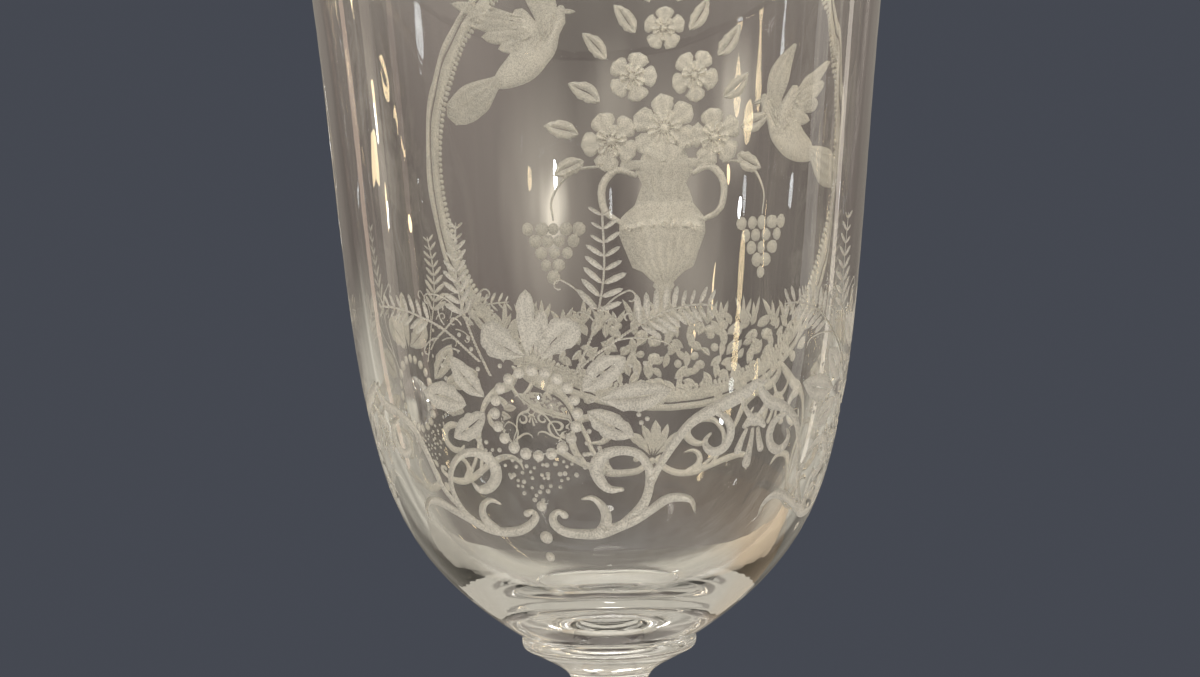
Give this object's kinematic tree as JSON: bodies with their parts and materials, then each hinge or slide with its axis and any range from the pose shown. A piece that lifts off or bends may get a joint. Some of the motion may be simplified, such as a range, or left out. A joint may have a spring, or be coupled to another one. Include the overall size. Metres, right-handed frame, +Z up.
{
  "type": "engraved glass vase",
  "caption": "Clear stemmed glass vase with a tall gently flared bowl, collars, a ball knop and a round foot; the bowl carries an engraved leaf and scroll border and an oval medallion.",
  "frame": {"origin": "centre of the foot's ground ring, on the surface that the vase stands on", "axes": "+Z up along the axis of the foot, stem and bowl; +Y away from the viewer, with the front of the engraving facing -Y; +X to the viewer's right"},
  "size_m": [0.115, 0.115, 0.233],
  "materials": {
    "clear_glass": "fire-polished clear crystal, faintly warm",
    "engraved_glass": "wheel-engraved, matte and lightly speckled"
  },
  "bodies": {
    "root": {"foot": "clear_glass", "foot_collar": "clear_glass", "stem_shaft": "clear_glass", "stem_knop": "clear_glass", "stem_neck": "clear_glass", "bowl_collar": "clear_glass", "bowl": "clear_glass"}
  },
  "joints": []
}
